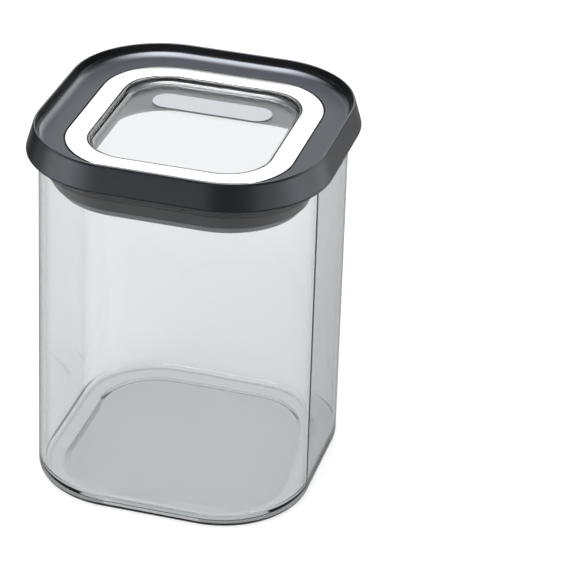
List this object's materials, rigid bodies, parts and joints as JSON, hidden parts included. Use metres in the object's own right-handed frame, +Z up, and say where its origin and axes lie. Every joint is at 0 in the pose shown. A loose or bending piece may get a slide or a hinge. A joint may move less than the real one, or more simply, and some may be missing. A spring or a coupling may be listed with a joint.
{
  "type": "food storage jar with plug-in window lid",
  "caption": "Square glass storage jar with round corners, closed by a sealed lid with a raised stacking rim, a steel ring and a clear window tray.",
  "frame": {"origin": "middle of the jar's underside, on the surface it stands on", "axes": "+Z up through the lid, +X to the right along the front, +Y to the back, where the writing strip is"},
  "size_m": [0.1124, 0.1124, 0.1437],
  "materials": {
    "jar_glass": "clear borosilicate, smooth",
    "charcoal_plastic": "fine matt moulding grain",
    "plug_plastic": "satin moulded",
    "silicone": "soft satin silicone",
    "polished_steel": "polished stainless steel",
    "adhesive": "black elastic adhesive",
    "clear_plastic": "clear, high gloss",
    "writing_strip": "frosted, writable"
  },
  "bodies": {
    "jar": {"glass_jar": "jar_glass"},
    "lid": {"lid_cover": "charcoal_plastic", "plug_frame": "plug_plastic", "seal_ring": "silicone", "steel_ring": "polished_steel", "ring_bond": "adhesive", "window_tray": "clear_plastic", "label_strip": "writing_strip"}
  },
  "joints": [
    {"name": "lid_lift", "type": "slide", "parent": "jar", "child": "lid", "axis": [0, 0, 1], "range_m": [0, 0.12]}
  ]
}
